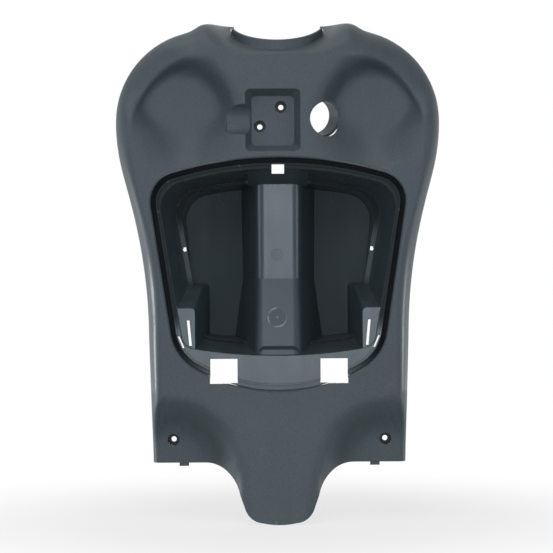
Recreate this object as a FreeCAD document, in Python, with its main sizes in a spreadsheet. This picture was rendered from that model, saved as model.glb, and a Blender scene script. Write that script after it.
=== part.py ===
import FreeCAD
import Part
import math
import os
import Sketcher

V = FreeCAD.Vector

# Inner leg-shield panel of a small scooter with its glove compartment, one moulding.
# Millimetres. +X to the right as seen by the rider, +Y forward into the scooter, +Z up.
# Origin: midway between the two lower fixing screws, on the faces their heads sit on.

SIZES = {
    # Moulding
    "wall": 2.5,
    "rim_rise": 40.0,
    "cutter_clear": 80.0,
    # Outline of the panel
    "shoulder_band": 40.0,
    "shoulder_z": 387.0,
    "shoulder_radius": 111.0,
    "flank_radius": 244.0,
    "flank_angle": 15.0,
    "flank_length": 32.5,
    "waist_radius": 660.0,
    "base_half": 153.5,
    "base_z": -28.0,
    "crown_z": 508.0,
    "crown_half": 94.0,
    "crown_corner": 9.0,
    "crown_fall": 2.0,
    "skirt_drop": 40.0,
    "skirt_corner": 46.0,
    "hub_z": 205.0,
    "core_reach": 126.0,
    # Rolled edge and return wall
    "roll_top": 33.0,
    "roll_side": 18.0,
    "roll_foot": 10.0,
    "roll_depth": 42.0,
    "crown_inset": 41.0,
    "crown_depth": 84.0,
    "crown_blend_start": 52.0,
    "crown_blend": 44.0,
    "return_depth": 96.0,
    "return_side": 6.0,
    "return_shoulder": 14.0,
    "return_crown": 4.0,
    "return_rise": 20.0,
    "return_fall": 120.0,
    "return_crown_drop": 30.0,
    # Knee dishes
    "dish_x": 110.0,
    "dish_z": 383.0,
    "dish_outer": 75.0,
    "dish_inner": 72.0,
    "dish_rise": 82.0,
    "dish_drop": 85.0,
    "dish_depth": 26.0,
    "dish_edge": 0.3,
    "dish_slope": 0.55,
    "dish_fade": 1.0,
    # Arches over the feet and the tongue between them
    "arch_x": 125.0,
    "arch_z": -44.0,
    "arch_half": 79.0,
    "arch_rise": 93.0,
    "arch_ramp": 32.0,
    "arch_fade": 60.0,
    "tongue_throw": 38.0,
    "tongue_start": 75.0,
    "tongue_end": -94.0,
    "tongue_half": 47.0,
    "tongue_corner": 24.0,
    "tongue_foot_half": 42.0,
    "tongue_flare": 44.0,
    "tongue_sole": 95.0,
    # Compartment rim, groove and lip
    "rim_half_top": 157.5,
    "rim_top": 312.0,
    "rim_top_radius": 450.0,
    "rim_half_base": 126.0,
    "rim_base": 105.0,
    "rim_base_radius": 198.0,
    "rim_corner_top": 36.0,
    "rim_corner_base": 58.0,
    "rim_edge": 1.6,
    "groove_depth": 18.0,
    "lip_outset": 6.0,
    "lip_inset": 8.0,
    "lip_height": 11.4,
    "ledge_depth": 9.0,
    # Compartment
    "mouth_half_top": 147.5,
    "mouth_top": 303.5,
    "mouth_top_radius": 440.0,
    "mouth_half_base": 117.0,
    "mouth_base": 112.0,
    "mouth_base_radius": 620.0,
    "mouth_corner_top": 34.0,
    "mouth_corner_base": 18.0,
    "bend_depth": 60.0,
    "bend_taper_side": 18.0,
    "bend_taper_top": 6.0,
    "bend_taper_base": 8.6,
    "bend_width": 6.0,
    "back_depth": 116.0,
    "back_lean": 16.0,
    "back_half_top": 116.0,
    "back_top": 293.0,
    "back_half_base": 104.0,
    "back_base": 130.0,
    # Column over the frame tube
    "column_half": 27.0,
    "column_flare": 0.31,
    "column_front": 57.0,
    "column_top_front": 50.0,
    "column_knee_z": 195.0,
    "column_foot_z": 96.0,
    "column_round": 13.0,
    # Latch hood in the roof
    "hood_half": 37.0,
    "hood_front_z": 330.0,
    "hood_back_z": 309.0,
    "latch_width": 15.0,
    "latch_height": 10.5,
    "latch_z": 327.5,
    # Hinge blocks in the lower corners
    "block_inner": 101.0,
    "block_top": 159.5,
    "block_knee_depth": 58.0,
    "block_knee_inner": 93.0,
    "block_knee_top": 187.0,
    "block_back_inner": 83.0,
    "block_back_top": 190.0,
    "hinge_slot_inner": 50.0,
    "hinge_slot_outer": 83.0,
    "hinge_slot_base": 69.0,
    "hinge_slot_top": 98.5,
    "slit_width": 3.4,
    "slit_top": 145.0,
    "slit_base": 114.5,
    "slit_top_x": 109.4,
    "slit_base_x": 106.6,
    "gap_width": 2.4,
    "gap_top": 126.0,
    "gap_base": 112.0,
    "gap_top_x": 121.0,
    "gap_base_x": 115.0,
    "wall_screw_half": 115.0,
    "wall_screw_z": 231.5,
    "wall_screw_hole": 2.8,
    "wall_screw_boss": 20.0,
    # Hook recess, its screws and the finger scoop
    "hook_left": -39.0,
    "hook_right": 27.5,
    "hook_top": 423.0,
    "hook_base": 348.0,
    "hook_slope": 7.5,
    "hook_depth": 14.0,
    "hook_corner": 6.0,
    "hook_screw_x": 4.0,
    "hook_screw_z": 402.0,
    "hook_screw_x_two": -21.5,
    "hook_screw_z_two": 378.5,
    "screw_hole": 3.2,
    "screw_seat": 7.0,
    "screw_sink": 11.0,
    "hook_sink": 7.0,
    "scoop_radius": 19.0,
    "scoop_z": 386.5,
    "scoop_depth": 14.0,
    "scoop_reach": 62.0,
    # Ignition lock bore
    "key_x": 55.0,
    "key_z": 388.0,
    "key_depth": 14.0,
    "key_bore": 20.5,
    "key_length": 22.0,
    "key_swing": 28.0,
    "key_dip": 10.0,
    # Lower screws and bottom tabs
    "screw_half_pitch": 128.5,
    "tab_inner": 110.0,
    "tab_outer": 121.5,
    "tab_drop": 4.0,
    "tab_root": 8.0,
    # Steering column collar
    "collar_radius": 57.0,
    "collar_back": 68.0,
    "collar_lip": 10.0,
    "collar_height": 120.0,
    "collar_base": 60.0,
}

doc = FreeCAD.newDocument("glove_box_panel")
sheet = doc.addObject("Spreadsheet::Sheet", "Sizes")
for row, (alias, value) in enumerate(SIZES.items(), start=1):
    sheet.set(f"A{row}", alias)
    sheet.set(f"B{row}", str(value))
    sheet.setAlias(f"B{row}", alias)
doc.recompute()


def size(alias):
    """Value of one cell of the sheet."""
    return float(getattr(sheet, alias))


def behind(text):
    """Expression for the Y of something that lies a depth behind the rim plane."""
    return f"({text}) - Sizes.rim_rise"


# Panel form

def smooth(step):
    """Ease from 0 to 1 with no kink at either end."""
    step = min(1.0, max(0.0, step))
    return step ** 3 * (step * (6.0 * step - 15.0) + 10.0)


def mix(first, second, share):
    """Straight blend of two values."""
    return first + (second - first) * share


def arc_points(centre, radius, start, stop, count):
    """Points on an arc, angles in degrees from +X."""
    angles = [math.radians(mix(start, stop, k / count)) for k in range(count + 1)]
    return [(centre[0] + radius * math.cos(a), centre[1] + radius * math.sin(a)) for a in angles]


ARC_STEPS = 16


def half_outline():
    """Right half of the panel outline from the top centre to below the tongue."""
    radius = size("shoulder_radius")
    shoulder = (size("rim_half_top") + size("shoulder_band") - radius, size("shoulder_z"))
    tilt = size("flank_angle")
    crown = size("crown_z")
    step_x = size("crown_half")
    bevel = size("crown_corner")
    leave = math.degrees(math.acos((step_x + bevel - shoulder[0]) / radius))
    points = [(0.0, crown), (step_x - bevel, crown), (step_x, crown - size("crown_fall"))]
    points += arc_points(shoulder, radius, leave, 0.0, 2 * ARC_STEPS)
    flank = (shoulder[0] + radius - size("flank_radius"), shoulder[1])
    points += arc_points(flank, size("flank_radius"), 0.0, -tilt, ARC_STEPS)
    across = math.cos(math.radians(tilt))
    down = math.sin(math.radians(tilt))
    corner = (points[-1][0] - size("flank_length") * down, points[-1][1] - size("flank_length") * across)
    waist = (corner[0] + size("waist_radius") * across, corner[1] - size("waist_radius") * down)
    points += arc_points(waist, size("waist_radius"), 180.0 - tilt, 180.0, ARC_STEPS)
    foot = size("base_z")
    points.append((size("base_half"), foot))
    skirt = size("tongue_end") - size("skirt_drop")
    bend = size("skirt_corner")
    points += arc_points((size("base_half") - bend, skirt + bend), bend, 0.0, -90.0, ARC_STEPS)
    points.append((0.0, skirt))
    return points


def ray_length(points, angle):
    """Distance from the hub to the outline along a ray at the angle in degrees from +X."""
    along = (math.cos(math.radians(angle)), math.sin(math.radians(angle)))
    best = 0.0
    for (ax, az), (bx, bz) in zip(points, points[1:]):
        az = az - size("hub_z")
        bz = bz - size("hub_z")
        side_a = along[0] * az - along[1] * ax
        side_b = along[0] * bz - along[1] * bx
        if side_a * side_b > 0.0 or side_a == side_b:
            continue
        share = side_a / (side_a - side_b)
        reach = along[0] * mix(ax, bx, share) + along[1] * mix(az, bz, share)
        best = max(best, reach)
    return best


# Share of the arch's ramp that is left beside the tongue.
ARCH_NARROW = 0.6


def relief(x, z):
    """Depth of the front face behind the rim plane."""
    x = abs(x)
    inward = x < size("dish_x")
    across = (x - size("dish_x")) / size("dish_inner" if inward else "dish_outer")
    along = (z - size("dish_z")) / size("dish_rise" if z > size("dish_z") else "dish_drop")
    reach = math.hypot(across, along)
    ramp = mix(size("dish_edge"), size("dish_slope"), smooth(-across) if reach > 0.0 else 0.0)
    ramp = mix(ramp, size("dish_fade"), smooth(0.5 - 1.5 * along))
    dish = size("dish_depth") * smooth((1.0 - reach) / ramp)
    narrow = smooth((size("arch_z") + 0.5 * size("arch_fade") - z) / size("arch_fade"))
    in_x = max(0.0, size("arch_x") - x) / size("arch_half")
    in_z = max(0.0, z - size("arch_z")) / size("arch_rise")
    ramp = mix(1.0, ARCH_NARROW, narrow) * size("arch_ramp") / size("arch_half")
    arch = smooth((1.0 - math.hypot(in_x, in_z)) / ramp)
    fall = (size("tongue_start") - z) / (size("tongue_start") - size("tongue_end"))
    throw = size("tongue_throw") * max(0.0, fall) ** 2
    flat = size("rim_rise") - size("screw_sink")
    return dish + flat * arch - throw * (1.0 - arch)


# Control rays leave the hub closer together over the arches and the dishes than at the sides.
ARCH_RAYS = 20
SIDE_RAYS = 13
DISH_RAYS = 26
ARCH_END = -38.0
DISH_START = 26.0
FACE_ROWS = 14


def ray_angles():
    """Angles of the control rays in degrees, all the way round."""
    right = [mix(-90.0, ARCH_END, k / ARCH_RAYS) for k in range(ARCH_RAYS)]
    right += [mix(ARCH_END, DISH_START, k / SIDE_RAYS) for k in range(SIDE_RAYS)]
    right += [mix(DISH_START, 90.0, k / DISH_RAYS) for k in range(DISH_RAYS + 1)]
    left = [180.0 - a for a in reversed(right[1:-1])]
    return right + left


# The rolled edge widens over the shoulders and narrows at the foot: where along a ray's rise it starts
# to change and over how much of the rise.
TOP_START = 0.35
TOP_SPAN = 0.6
FOOT_START = 0.7
FOOT_SPAN = 0.25
# Control rows: the last one on the face before the roll, those round the roll and that on the return wall.
FACE_END = 0.965
ROLL_SHARES = (0.1, 0.3, 0.5, 0.72, 0.9, 1.0)
RETURN_SHARE = 0.4


def edge_inset(along, crisp):
    """Width of the rolled edge where a ray of this direction meets it."""
    inset = mix(size("roll_side"), size("roll_top"), smooth((along[1] - TOP_START) / TOP_SPAN))
    inset = mix(inset, size("roll_foot"), smooth((-along[1] - FOOT_START) / FOOT_SPAN))
    return mix(inset, size("crown_inset"), crisp)


def panel_poles():
    """Control rows along each ray, from inside the rim out over the rolled edge and back."""
    points = half_outline()
    grid = []
    for angle in ray_angles():
        folded = angle if angle <= 90.0 else 180.0 - angle
        along = (math.cos(math.radians(folded)), math.sin(math.radians(folded)))
        outer = ray_length(points, folded)
        inner = size("core_reach") * (abs(along[0]) ** 4 + abs(along[1]) ** 4) ** -0.25
        past = (outer * along[0] - size("crown_blend_start")) / size("crown_blend")
        crisp = 1.0 - smooth(past) if along[1] > 0.0 else 0.0
        deep = mix(size("roll_depth"), size("crown_depth"), crisp)
        inset = edge_inset(along, crisp)
        turn = outer - inset
        side = 1.0 if angle <= 90.0 else -1.0
        steps = [k / (FACE_ROWS - 1) for k in range(FACE_ROWS - 1)]
        steps += [FACE_END, 1.0]
        row = []
        for step in steps:
            reach = mix(inner, turn, step)
            x = reach * along[0]
            z = size("hub_z") + reach * along[1]
            row.append(V(side * x, relief(x, z) if step > 0.0 else 0.0, z))
        start = row[-1].y
        for share in ROLL_SHARES:
            swing = 0.5 * math.pi * share
            out = mix(math.sin(swing), share, crisp)
            drop = mix(1.0 - math.cos(swing), share, crisp)
            reach = turn + inset * out
            z = size("hub_z") + reach * along[1]
            row.append(V(side * reach * along[0], start + (deep - start) * drop, z))
        last = row[-1]
        row.append(V(last.x, mix(last.y, size("return_depth"), RETURN_SHARE), last.z))
        row.append(V(last.x, size("return_depth"), last.z))
        grid.append(row)
    return grid


def inner_poles(grid):
    """The same control rows moved inwards by the wall thickness."""
    rays = len(grid)
    rows = len(grid[0])
    moved = []
    for i in range(rays):
        line = []
        for j in range(rows):
            round_way = grid[(i + 1) % rays][j] - grid[i - 1][j]
            out_way = grid[i][min(j + 1, rows - 1)] - grid[i][max(j - 1, 0)]
            normal = round_way.cross(out_way)
            normal.normalize()
            line.append(grid[i][j] + normal * size("wall"))
        line[0].y = size("wall")
        line[-1].y = size("return_depth") + 4.0 * size("wall")
        moved.append(line)
    return moved


def poles_to_solid(grid):
    """Block bounded by the freeform face, a flat cap over the opening and a flat back."""
    rays = len(grid)
    rows = len(grid[0])
    shift = V(0.0, -size("rim_rise"), 0.0)
    poles = [[point + shift for point in row] for row in grid]
    surface = Part.BSplineSurface()
    round_knots = list(range(rays + 1))
    out_knots = list(range(rows - 2))
    out_mults = [4] + [1] * (rows - 4) + [4]
    surface.buildFromPolesMultsKnots(
        poles, [1] * (rays + 1), out_mults, round_knots, out_knots, True, False, 3, 3)
    face = surface.toShape()
    rings = [edge for edge in face.Edges if edge.isClosed()]
    caps = [Part.Face(Part.Wire([edge])) for edge in rings]
    solid = Part.Solid(Part.Shell([face] + caps))
    solid.fix(1e-3, 1e-3, 1e-3)
    return solid


# Drawing helpers

FRONT = FreeCAD.Rotation(V(1, 0, 0), 90)
SIDE = FreeCAD.Rotation(V(1, 1, 1), 120)
PLAN = FreeCAD.Rotation()


def closed_sketch(name, turn, axis, level, corners, arcs=()):
    """Closed outline through corners given as expressions, counter-clockwise.

    Edges named in arcs bulge outwards with the given radius, or inwards where it starts with a minus.
    """
    sketch = doc.addObject("Sketcher::SketchObject", name)
    sketch.Placement = FreeCAD.Placement(V(), turn)
    sketch.setExpression(f"Placement.Base.{axis}", level)
    arcs = dict(arcs)
    spots = [V(sheet.evalExpression(a), sheet.evalExpression(b), 0.0) for a, b in corners]
    count = len(spots)
    ends = []
    for k in range(count):
        here = spots[k]
        there = spots[(k + 1) % count]
        ends.append((1, 2))
        if k not in arcs:
            sketch.addGeometry(Part.LineSegment(here, there))
            continue
        if arcs[k].startswith("-"):
            ends[k] = (2, 1)
            here, there = there, here
        radius = sheet.evalExpression(arcs[k].lstrip("-"))
        chord = there - here
        outward = V(chord.y, -chord.x, 0.0).normalize()
        sink = math.sqrt(radius ** 2 - 0.25 * chord.Length ** 2)
        centre = (here + there) * 0.5 - outward * sink
        start = math.atan2(here.y - centre.y, here.x - centre.x)
        stop = math.atan2(there.y - centre.y, there.x - centre.x)
        circle = Part.Circle(centre, V(0, 0, 1), radius)
        sketch.addGeometry(Part.ArcOfCircle(circle, start, stop))
    for k in range(count):
        after = (k + 1) % count
        sketch.addConstraint(Sketcher.Constraint("Coincident", k, ends[k][1], after, ends[after][0]))
    for k, (across, up) in enumerate(corners):
        for kind, text, value in (("DistanceX", across, spots[k].x), ("DistanceY", up, spots[k].y)):
            mark = f"{kind}_{k}"
            index = sketch.addConstraint(Sketcher.Constraint(kind, -1, 1, k, ends[k][0], value))
            sketch.renameConstraint(index, mark)
            sketch.setExpression(f"Constraints.{mark}", text)
    for k, text in arcs.items():
        text = text.lstrip("-")
        index = sketch.addConstraint(Sketcher.Constraint("Radius", k, sheet.evalExpression(text)))
        sketch.renameConstraint(index, f"Radius_{k}")
        sketch.setExpression(f"Constraints.Radius_{k}", text)
    return sketch


def prism(name, base, way, length):
    """Solid from a closed outline pushed along a direction."""
    solid = doc.addObject("Part::Extrusion", name)
    solid.Base = base
    solid.DirMode = "Custom"
    solid.Dir = way
    solid.Solid = True
    solid.setExpression("LengthFwd", length)
    return solid


def loft(name, sections):
    """Solid with straight rulings between outlines."""
    solid = doc.addObject("Part::Loft", name)
    solid.Sections = sections
    solid.Solid = True
    solid.Ruled = True
    return solid


def rounded(name, base, radius_of):
    """Base with the edges rounded for which radius_of gives a radius."""
    doc.recompute()
    picks = [(k, radius_of(edge)) for k, edge in enumerate(base.Shape.Edges, start=1)]
    solid = doc.addObject("Part::Fillet", name)
    solid.Base = base
    solid.Edges = [(k, radius, radius) for k, radius in picks if radius]
    return solid


def fused(name, shapes):
    """Union of several objects."""
    solid = doc.addObject("Part::MultiFuse", name)
    solid.Shapes = shapes
    return solid


def cut(name, base, tool):
    """Base less tool."""
    solid = doc.addObject("Part::Cut", name)
    solid.Base = base
    solid.Tool = tool
    return solid


def common(name, base, tool):
    """What base and tool share."""
    solid = doc.addObject("Part::Common", name)
    solid.Base = base
    solid.Tool = tool
    return solid


def mirrored(name, source):
    """Copy of an object on the other side of the middle plane."""
    solid = doc.addObject("Part::Mirroring", name)
    solid.Source = source
    solid.Normal = V(1, 0, 0)
    return solid


def box(name, left, right, front, back, base, top):
    """Box between six expressions."""
    solid = doc.addObject("Part::Box", name)
    solid.setExpression("Length", f"({right}) - ({left})")
    solid.setExpression("Width", f"({back}) - ({front})")
    solid.setExpression("Height", f"({top}) - ({base})")
    solid.setExpression("Placement.Base.x", left)
    solid.setExpression("Placement.Base.y", front)
    solid.setExpression("Placement.Base.z", base)
    return solid


def drill(name, x, front, z, radius, length):
    """Cylinder along +Y from a front plane."""
    solid = doc.addObject("Part::Cylinder", name)
    solid.Placement = FreeCAD.Placement(V(), FreeCAD.Rotation(V(1, 0, 0), -90))
    solid.setExpression("Radius", radius)
    solid.setExpression("Height", length)
    solid.setExpression("Placement.Base.x", x)
    solid.setExpression("Placement.Base.y", front)
    solid.setExpression("Placement.Base.z", z)
    return solid


def frame_corners(half_top, top, half_base, base):
    """Four corners of an outline that is the same left and right."""
    return [(f"-({half_base})", base), (half_base, base), (half_top, top), (f"-({half_top})", top)]


# Panel skin with its edges trimmed

grid = panel_poles()
core = doc.addObject("Part::Feature", "panel_core")
core.Shape = poles_to_solid(grid)
hollow = doc.addObject("Part::Feature", "panel_hollow")
hollow.Shape = poles_to_solid(inner_poles(grid))
skin = cut("panel_skin", core, hollow)

BELOW = "Sizes.tongue_end - Sizes.cutter_clear"
ABOVE = "Sizes.crown_z + Sizes.cutter_clear"
back_line = closed_sketch("back_line", SIDE, "x", "-2.5 * Sizes.base_half", [
    (behind("Sizes.roll_depth + Sizes.return_side"), BELOW),
    (behind("Sizes.return_depth + Sizes.cutter_clear"), BELOW),
    (behind("Sizes.return_depth + Sizes.cutter_clear"), ABOVE),
    (behind("Sizes.crown_depth + Sizes.return_crown"), ABOVE),
    (behind("Sizes.crown_depth + Sizes.return_crown"), "Sizes.crown_z - Sizes.return_crown_drop"),
    (behind("Sizes.roll_depth + Sizes.return_shoulder"), "Sizes.shoulder_z + Sizes.return_rise"),
    (behind("Sizes.roll_depth + Sizes.return_side"), "Sizes.shoulder_z - Sizes.return_fall"),
])
back_trim = prism("back_trim", back_line, V(1, 0, 0), "5 * Sizes.base_half")

foot_line = closed_sketch("foot_line", FRONT, "y", behind("-2.5 * Sizes.tongue_throw"), [
    ("-2 * Sizes.base_half", BELOW),
    ("2 * Sizes.base_half", BELOW),
    ("2 * Sizes.base_half", "Sizes.base_z"),
    ("Sizes.tongue_half + Sizes.tongue_flare", "Sizes.base_z"),
    ("Sizes.tongue_half", "Sizes.base_z - 0.8 * Sizes.tongue_flare"),
    ("Sizes.tongue_foot_half", "Sizes.tongue_end + 0.75 * Sizes.tongue_corner"),
    ("Sizes.tongue_foot_half - 0.9 * Sizes.tongue_corner", "Sizes.tongue_end"),
    ("-Sizes.tongue_foot_half + 0.9 * Sizes.tongue_corner", "Sizes.tongue_end"),
    ("-Sizes.tongue_foot_half", "Sizes.tongue_end + 0.75 * Sizes.tongue_corner"),
    ("-Sizes.tongue_half", "Sizes.base_z - 0.8 * Sizes.tongue_flare"),
    ("-Sizes.tongue_half - Sizes.tongue_flare", "Sizes.base_z"),
    ("-2 * Sizes.base_half", "Sizes.base_z"),
], {3: "Sizes.tongue_flare", 5: "-Sizes.tongue_corner", 6: "-Sizes.tongue_sole", 7: "-Sizes.tongue_corner",
    9: "Sizes.tongue_flare"})
foot_trim = prism("foot_trim", foot_line, V(0, 1, 0), "8 * Sizes.tongue_throw")

collar_front = behind("Sizes.collar_back")
collar_well = doc.addObject("Part::Cylinder", "collar_well")
collar_well.setExpression("Radius", "Sizes.collar_radius")
collar_well.setExpression("Height", "Sizes.collar_height")
collar_well.setExpression("Placement.Base.y", collar_front)
collar_well.setExpression("Placement.Base.z", "Sizes.crown_z - Sizes.collar_base")
trims = fused("edge_trims", [back_trim, foot_trim, collar_well])
panel = cut("trimmed_panel", skin, trims)

# Compartment rim: groove with a lip, cut into a slab behind the panel

rim = closed_sketch("rim", FRONT, "y", behind("0"), frame_corners(
    "Sizes.rim_half_top", "Sizes.rim_top", "Sizes.rim_half_base", "Sizes.rim_base"),
    {0: "Sizes.rim_base_radius", 2: "Sizes.rim_top_radius"})


def rim_prism(name, grow, ahead, depth):
    """Prism with the rim outline moved outwards by grow, rounded at its four corners."""
    outline = rim
    if sheet.evalExpression(grow) != 0.0:
        outline = doc.addObject("Part::Offset2D", name + "_outline")
        outline.Source = rim
        outline.Join = "Intersection"
        outline.setExpression("Value", grow)
    solid = prism(name + "_prism", outline, V(0, 1, 0), depth)
    solid.setExpression("LengthRev", ahead)
    extra = sheet.evalExpression(grow)

    def corner(edge):
        ends = [vertex.Point for vertex in edge.Vertexes]
        if len(ends) < 2 or abs(ends[0].y - ends[1].y) < 1.0:
            return None
        high = ends[0].z > size("hub_z")
        return extra + (size("rim_corner_top") if high else size("rim_corner_base"))

    return rounded(name, solid, corner)


slab_block = rim_prism("slab_block", "Sizes.wall", "-0.6 * Sizes.wall", "Sizes.groove_depth + Sizes.wall")
slab_hollow = rim_prism("slab_hollow", "-Sizes.lip_inset - Sizes.wall", "-Sizes.ledge_depth - Sizes.wall",
                        "2 * Sizes.groove_depth")
slab = cut("rim_slab", slab_block, slab_hollow)
groove = rim_prism("groove", "0.0", "Sizes.cutter_clear", "Sizes.groove_depth")
rim_flare_block = rim_prism("rim_flare_block", "Sizes.rim_edge", "Sizes.cutter_clear", "Sizes.rim_edge")
lip = rim_prism("lip", "-Sizes.lip_outset", "Sizes.lip_height - Sizes.groove_depth",
                "Sizes.groove_depth + 0.5 * Sizes.wall")
lip_well = rim_prism("lip_well", "-Sizes.lip_inset", "Sizes.cutter_clear", "Sizes.ledge_depth")

doc.recompute()
rim_flare = doc.addObject("Part::Chamfer", "rim_flare")
rim_flare.Base = rim_flare_block
flare_back = rim_flare_block.Shape.BoundBox.YMax
rim_flare.Edges = [
    (k, 0.95 * size("rim_edge"), 0.95 * size("rim_edge"))
    for k, edge in enumerate(rim_flare_block.Shape.Edges, start=1)
    if edge.BoundBox.YMin > flare_back - 0.01 * size("rim_edge")
]

# Compartment: mouth, shelf at half depth and back wall, once for the space and once grown by the wall


def mouth_corners(grow, side, top, base):
    """Corners of the mouth outline grown outwards and drawn in at its sides, top and base."""
    return frame_corners(
        f"Sizes.mouth_half_top + ({grow}) - ({side})", f"Sizes.mouth_top + ({grow}) - ({top})",
        f"Sizes.mouth_half_base + ({grow}) - ({side})", f"Sizes.mouth_base - ({grow}) + ({base})")


def tub(name, grow, front, back):
    """Compartment as a solid between its mouth and its back wall, with a narrow shelf half way in."""
    bends = {0: "Sizes.mouth_base_radius", 2: "Sizes.mouth_top_radius"}
    taper = ("Sizes.bend_taper_side", "Sizes.bend_taper_top", "Sizes.bend_taper_base")
    inset = ("Sizes.bend_taper_side + Sizes.bend_width", "Sizes.bend_taper_top + 0.3 * Sizes.bend_width",
             "Sizes.bend_taper_base + 0.3 * Sizes.bend_width")
    deep = f"Sizes.bend_depth + ({grow})"
    mouth = closed_sketch(name + "_mouth", FRONT, "y", behind(front),
                          mouth_corners(grow, "0", "0", "0"), bends)
    bend = closed_sketch(name + "_bend", FRONT, "y", behind(deep), mouth_corners(grow, *taper), bends)
    step = closed_sketch(name + "_step", FRONT, "y", behind("Sizes.bend_depth - Sizes.wall"),
                         mouth_corners(grow, *inset), bends)
    wall = closed_sketch(name + "_back", FRONT, "y", behind(back), frame_corners(
        f"Sizes.back_half_top + ({grow})", f"Sizes.back_top + ({grow})",
        f"Sizes.back_half_base + ({grow})", f"Sizes.back_base - ({grow})"), bends)
    extra = sheet.evalExpression(grow)

    def corner(top_radius, base_radius):
        def radius_of(edge):
            ends = [vertex.Point for vertex in edge.Vertexes]
            if len(ends) < 2 or abs(ends[0].y - ends[1].y) < size("wall"):
                return None
            return extra + (size(top_radius) if ends[0].z > size("hub_z") else size(base_radius))
        return radius_of

    fore = rounded(name + "_fore", loft(name + "_fore_loft", [mouth, bend]),
                   corner("mouth_corner_top", "mouth_corner_base"))
    aft = rounded(name + "_aft", loft(name + "_aft_loft", [step, wall]),
                  corner("mouth_corner_top", "mouth_corner_base"))
    return fused(name, [fore, aft])


tub_space = tub("tub_space", "0", "0.5 * Sizes.ledge_depth", "Sizes.back_depth")
tub_form = tub("tub_form", "Sizes.wall", "Sizes.ledge_depth + 0.5 * Sizes.wall",
               "Sizes.back_depth + Sizes.wall")

# Column over the frame tube, with the channel behind it

FAR = "Sizes.back_depth + 8 * Sizes.wall"


def column_section(name, level, front, inset):
    """Plan of the column at one height: rounded front and flanks that spread to the back.

    Shares of the bend place both ends of its arc between the flat front and the flank.
    """
    half = f"(Sizes.column_half - ({inset}))"
    bend = f"(Sizes.column_round - ({inset}))"
    spread = f"Sizes.column_flare * ({FAR} - ({front}))"
    corners = [
        (f"-{half} + 0.74 * {bend}", behind(front)),
        (f"{half} - 0.74 * {bend}", behind(front)),
        (f"{half} + 0.219 * {bend}", behind(f"{front} + 0.707 * {bend}")),
        (f"{half} + {spread}", behind(FAR)),
        (f"-{half} - {spread}", behind(FAR)),
        (f"-{half} - 0.219 * {bend}", behind(f"{front} + 0.707 * {bend}")),
    ]
    return closed_sketch(name, PLAN, "z", level, corners, {1: bend, 5: bend})


column = loft("column", [
    column_section("column_top", "Sizes.rim_top + 60", "Sizes.column_top_front", "0"),
    column_section("column_knee", "Sizes.column_knee_z", "Sizes.column_front", "0"),
    column_section("column_foot", "Sizes.column_foot_z", "Sizes.ledge_depth + 0.8 * Sizes.wall", "0"),
    column_section("column_base", "Sizes.column_foot_z - 30", "Sizes.ledge_depth + 0.8 * Sizes.wall", "0"),
])
channel = loft("channel", [
    column_section("channel_top", "Sizes.rim_top + 80",
                   "Sizes.column_top_front + Sizes.wall", "Sizes.wall"),
    column_section("channel_knee", "Sizes.column_knee_z", "Sizes.column_front + Sizes.wall", "Sizes.wall"),
    column_section("channel_foot", "Sizes.column_foot_z",
                   "Sizes.ledge_depth + 2.2 * Sizes.wall", "Sizes.wall"),
    column_section("channel_base", "Sizes.base_z", "Sizes.ledge_depth + 2.2 * Sizes.wall", "Sizes.wall"),
])

# Latch hood: the roof slopes down to the column in the middle


def hood_block(name, half, lift, front):
    """Wedge above the sloping middle of the roof."""
    profile = closed_sketch(name + "_profile", SIDE, "x", f"-({half})", [
        (behind(f"Sizes.ledge_depth + {front}"), f"Sizes.hood_front_z + {lift}"),
        (behind("Sizes.column_top_front + 6"), f"Sizes.hood_back_z + {lift}"),
        (behind(FAR), f"Sizes.hood_back_z + {lift}"),
        (behind(FAR), "Sizes.rim_top + 70"),
        (behind(f"Sizes.ledge_depth + {front}"), "Sizes.rim_top + 70"),
    ])
    return prism(name, profile, V(1, 0, 0), f"2 * ({half})")


hood = hood_block("hood", "Sizes.hood_half", "0", "0.8 * Sizes.wall")
hood_hollow = hood_block("hood_hollow", "Sizes.hood_half - Sizes.wall",
                         "1.08 * Sizes.wall", "2 * Sizes.wall")

# Hinge blocks


def block_section(name, depth, inner, top, inset):
    """Section of a hinge block with a rounded inner upper corner."""
    bend = f"(2 * Sizes.wall - 0.5 * ({inset}))"
    edge = f"({inner} + {inset})"
    crest = f"({top} - ({inset}))"
    corners = [
        (edge, "0.5 * Sizes.mouth_base"),
        ("1.2 * Sizes.rim_half_top", "0.5 * Sizes.mouth_base"),
        ("1.2 * Sizes.rim_half_top", crest),
        (f"{edge} + {bend}", crest),
        (edge, f"{crest} - {bend}"),
    ]
    return closed_sketch(name, FRONT, "y", behind(depth), corners, {3: bend})


def hinge_block(name, front, inset):
    """Block that fills a lower corner of the compartment behind its ledge."""
    return loft(name, [
        block_section(name + "_front", front, "Sizes.block_inner", "Sizes.block_top", inset),
        block_section(name + "_knee", f"Sizes.block_knee_depth + {inset}", "Sizes.block_knee_inner",
                      "Sizes.block_knee_top", inset),
        block_section(name + "_back", FAR, "Sizes.block_back_inner", "Sizes.block_back_top", inset),
    ])


block = hinge_block("block", "Sizes.ledge_depth + 0.8 * Sizes.wall", "0.0")
block_hollow = hinge_block("block_hollow", "Sizes.ledge_depth + 2.2 * Sizes.wall", "Sizes.wall")


def back_wedge(name, inset):
    """Wedge that turns the back wall of a pocket towards the column."""
    near = "Sizes.column_half"
    far = "1.2 * Sizes.rim_half_top"
    slope = "Sizes.back_lean / Sizes.back_half_top"
    outline = closed_sketch(name + "_outline", PLAN, "z", "0.5 * Sizes.rim_base", [
        (near, behind(f"Sizes.back_depth + {inset}")),
        (far, behind(f"Sizes.back_depth + {inset} - {slope} * ({far} - {near})")),
        (far, behind(FAR)),
        (near, behind(FAR)),
    ])
    return prism(name, outline, V(0, 0, 1), "Sizes.rim_top")


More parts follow.
